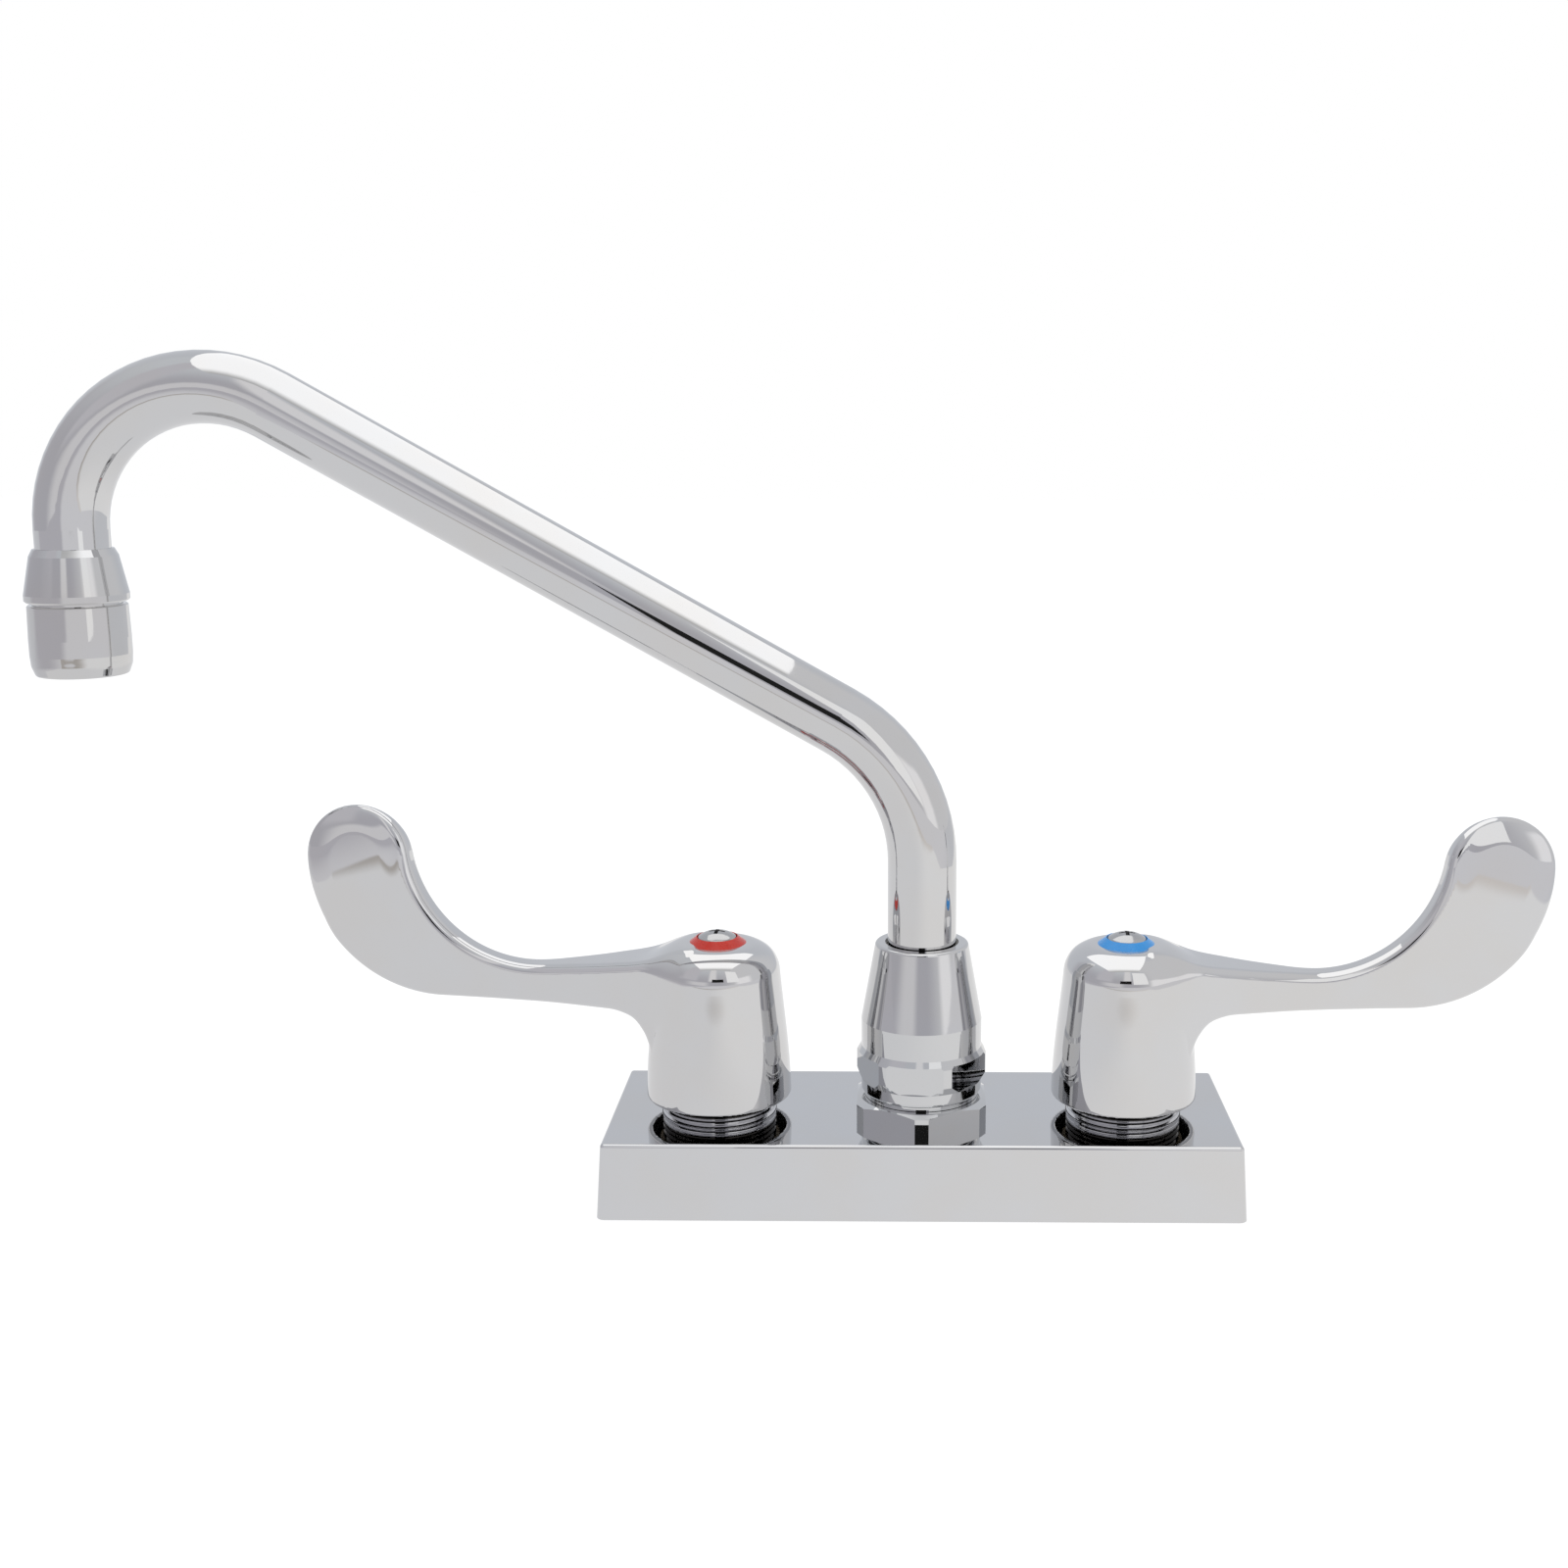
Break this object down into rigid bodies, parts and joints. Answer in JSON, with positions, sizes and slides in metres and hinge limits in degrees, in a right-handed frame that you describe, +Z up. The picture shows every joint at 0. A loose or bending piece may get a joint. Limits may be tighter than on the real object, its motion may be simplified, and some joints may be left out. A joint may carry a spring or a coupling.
{
  "type": "deck-mount faucet",
  "caption": "Deck-mount faucet: an oblong base carries wrist-blade handles either side of a swinging bent-tube spout with an aerator at its outlet.",
  "frame": {"origin": "the spout's swivel axis, in the plane of the base's lower rim, which stands on the deck", "axes": "+X towards the cold valve along the row of valves, -Y towards the user, +Z up"},
  "size_m": [0.3697, 0.0538, 0.2053],
  "materials": {
    "cover_chrome": "polished plating",
    "casting_chrome": "plated over a cast surface",
    "nut_chrome": "polished plating",
    "spout_chrome": "polished plating over drawn tube",
    "handle_chrome": "polished plating over a cast handle",
    "screw_chrome": "plated steel",
    "aerator_chrome": "polished plating",
    "turned_brass": "machined",
    "hot_red": "glossy red",
    "cold_blue": "glossy blue",
    "seal_rubber": "moulded black rubber",
    "disc_ceramic": "lapped white ceramic",
    "bushing_plastic": "moulded acetal",
    "aerator_plastic": "moulded grey plastic",
    "screen_steel": "perforated stainless steel"
  },
  "bodies": {
    "base": {"base_cover": "cover_chrome", "valve_casting": "casting_chrome", "spout_socket": "turned_brass", "spout_locknut": "nut_chrome", "spout_union_nut": "nut_chrome", "guide_bushing": "bushing_plastic", "hot_seat_seal": "seal_rubber", "hot_fixed_disc": "disc_ceramic", "hot_cartridge_body": "turned_brass", "hot_cartridge_seal": "seal_rubber", "hot_bonnet_nut": "turned_brass", "cold_seat_seal": "seal_rubber", "cold_fixed_disc": "disc_ceramic", "cold_cartridge_body": "turned_brass", "cold_cartridge_seal": "seal_rubber", "cold_bonnet_nut": "turned_brass"},
    "spout": {"swivel_sleeve": "turned_brass", "spout_o_rings": "seal_rubber", "thrust_washer": "bushing_plastic", "spout_tube": "spout_chrome", "outlet_nut": "aerator_chrome", "aerator_housing": "aerator_chrome", "aerator_washer": "seal_rubber", "aerator_insert": "aerator_plastic", "aerator_screen": "screen_steel"},
    "hot_handle": {"hot_handle": "handle_chrome", "hot_handle_screw": "screw_chrome", "hot_index_ring": "hot_red", "hot_stem": "turned_brass", "hot_moving_disc": "disc_ceramic", "hot_stem_o_rings": "seal_rubber"},
    "cold_handle": {"cold_handle": "handle_chrome", "cold_handle_screw": "screw_chrome", "cold_index_ring": "cold_blue", "cold_stem": "turned_brass", "cold_moving_disc": "disc_ceramic", "cold_stem_o_rings": "seal_rubber"}
  },
  "joints": [
    {"name": "spout_swing", "type": "hinge", "parent": "base", "child": "spout", "pos_m": [0, 0, 0.04], "axis": [0, 0, 1], "continuous": true},
    {"name": "hot_handle_turn", "type": "hinge", "parent": "base", "child": "hot_handle", "pos_m": [-0.0508, 0, 0.04], "axis": [0, 0, 1], "range_deg": [0, 90]},
    {"name": "cold_handle_turn", "type": "hinge", "parent": "base", "child": "cold_handle", "pos_m": [0.0508, 0, 0.04], "axis": [0, 0, 1], "range_deg": [-90, 0]}
  ]
}
